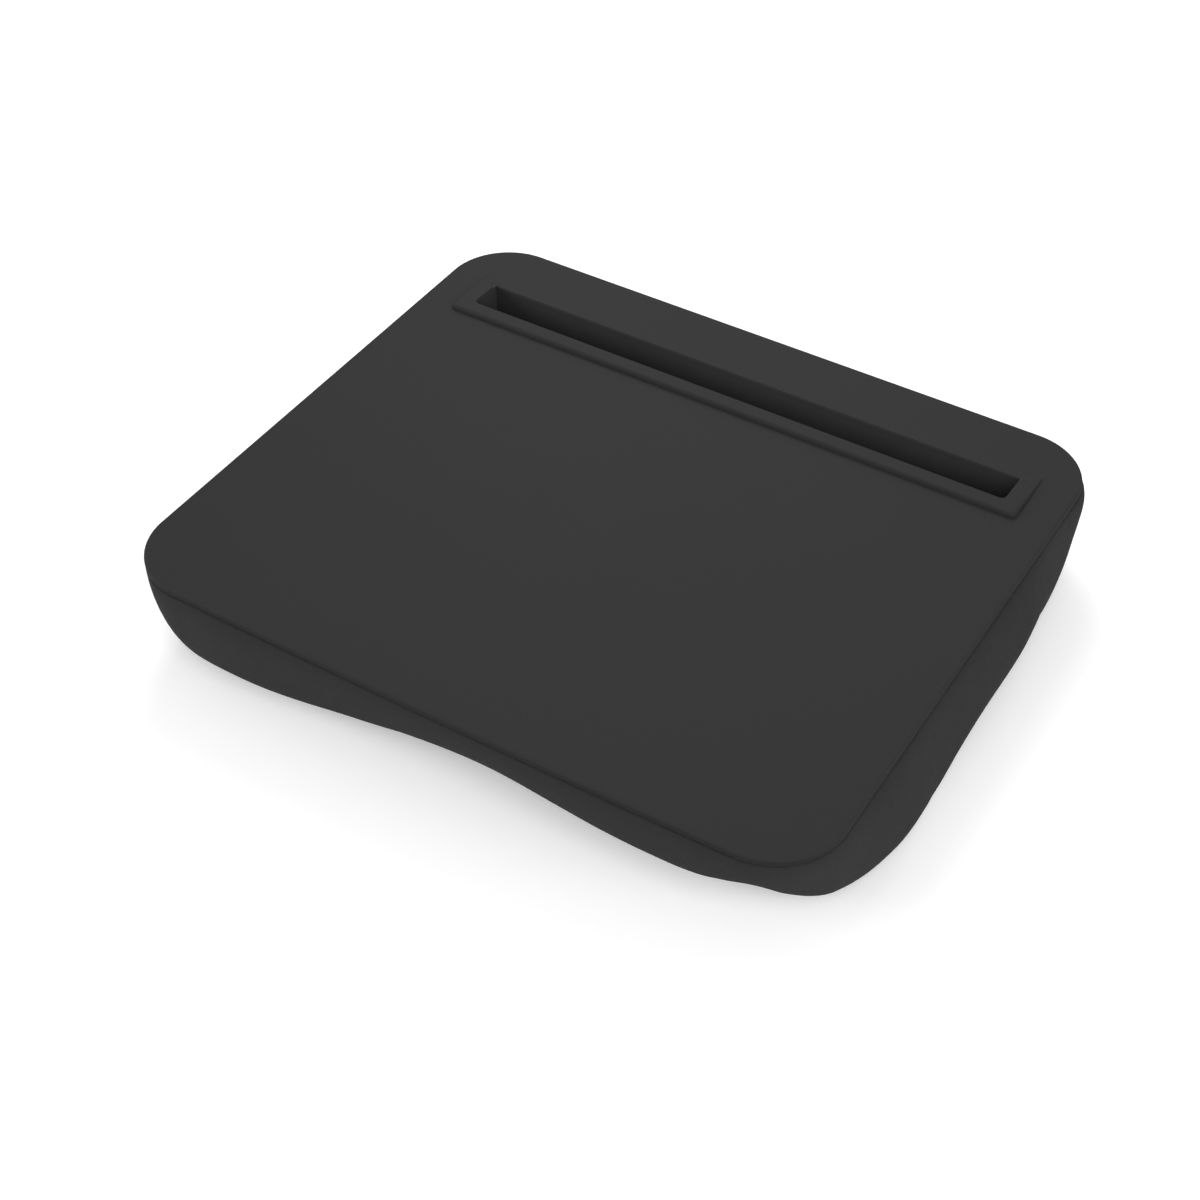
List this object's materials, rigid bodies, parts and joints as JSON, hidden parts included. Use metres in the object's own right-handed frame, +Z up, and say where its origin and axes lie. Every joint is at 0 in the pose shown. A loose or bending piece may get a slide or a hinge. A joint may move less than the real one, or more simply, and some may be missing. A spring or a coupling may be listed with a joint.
{
  "type": "tablet cushion stand",
  "caption": "Lap stand for a tablet: a flat rounded tray board with a raised-lip slot that holds a tablet upright, on a soft bead-filled fabric cushion.",
  "frame": {"origin": "on the ground under the middle of the board", "axes": "+Z up, +X to the right along the tablet slot, +Y to the back edge where the slot is, -Y to the user"},
  "size_m": [0.3964, 0.3357, 0.064],
  "materials": {
    "board_plastic": "fine matte moulded texture, dark grey",
    "trough_plastic": "fine matte moulded texture, dark grey",
    "cover_fabric": "fine plain weave, dark grey",
    "frame_plastic": "plain moulded, black",
    "lining_fabric": "non-woven cloth",
    "beads": "loose expanded polystyrene beads",
    "screw_steel": "zinc plated"
  },
  "bodies": {
    "root": {"tray_board": "board_plastic", "slot_trough": "trough_plastic", "cushion_cover": "cover_fabric", "hem_frame": "frame_plastic", "cushion_lining": "lining_fabric", "bead_filling": "beads", "frame_screw_01": "screw_steel", "frame_screw_02": "screw_steel", "frame_screw_03": "screw_steel", "frame_screw_04": "screw_steel", "frame_screw_05": "screw_steel", "frame_screw_06": "screw_steel", "frame_screw_07": "screw_steel", "frame_screw_08": "screw_steel", "frame_screw_09": "screw_steel", "frame_screw_10": "screw_steel"}
  },
  "joints": []
}
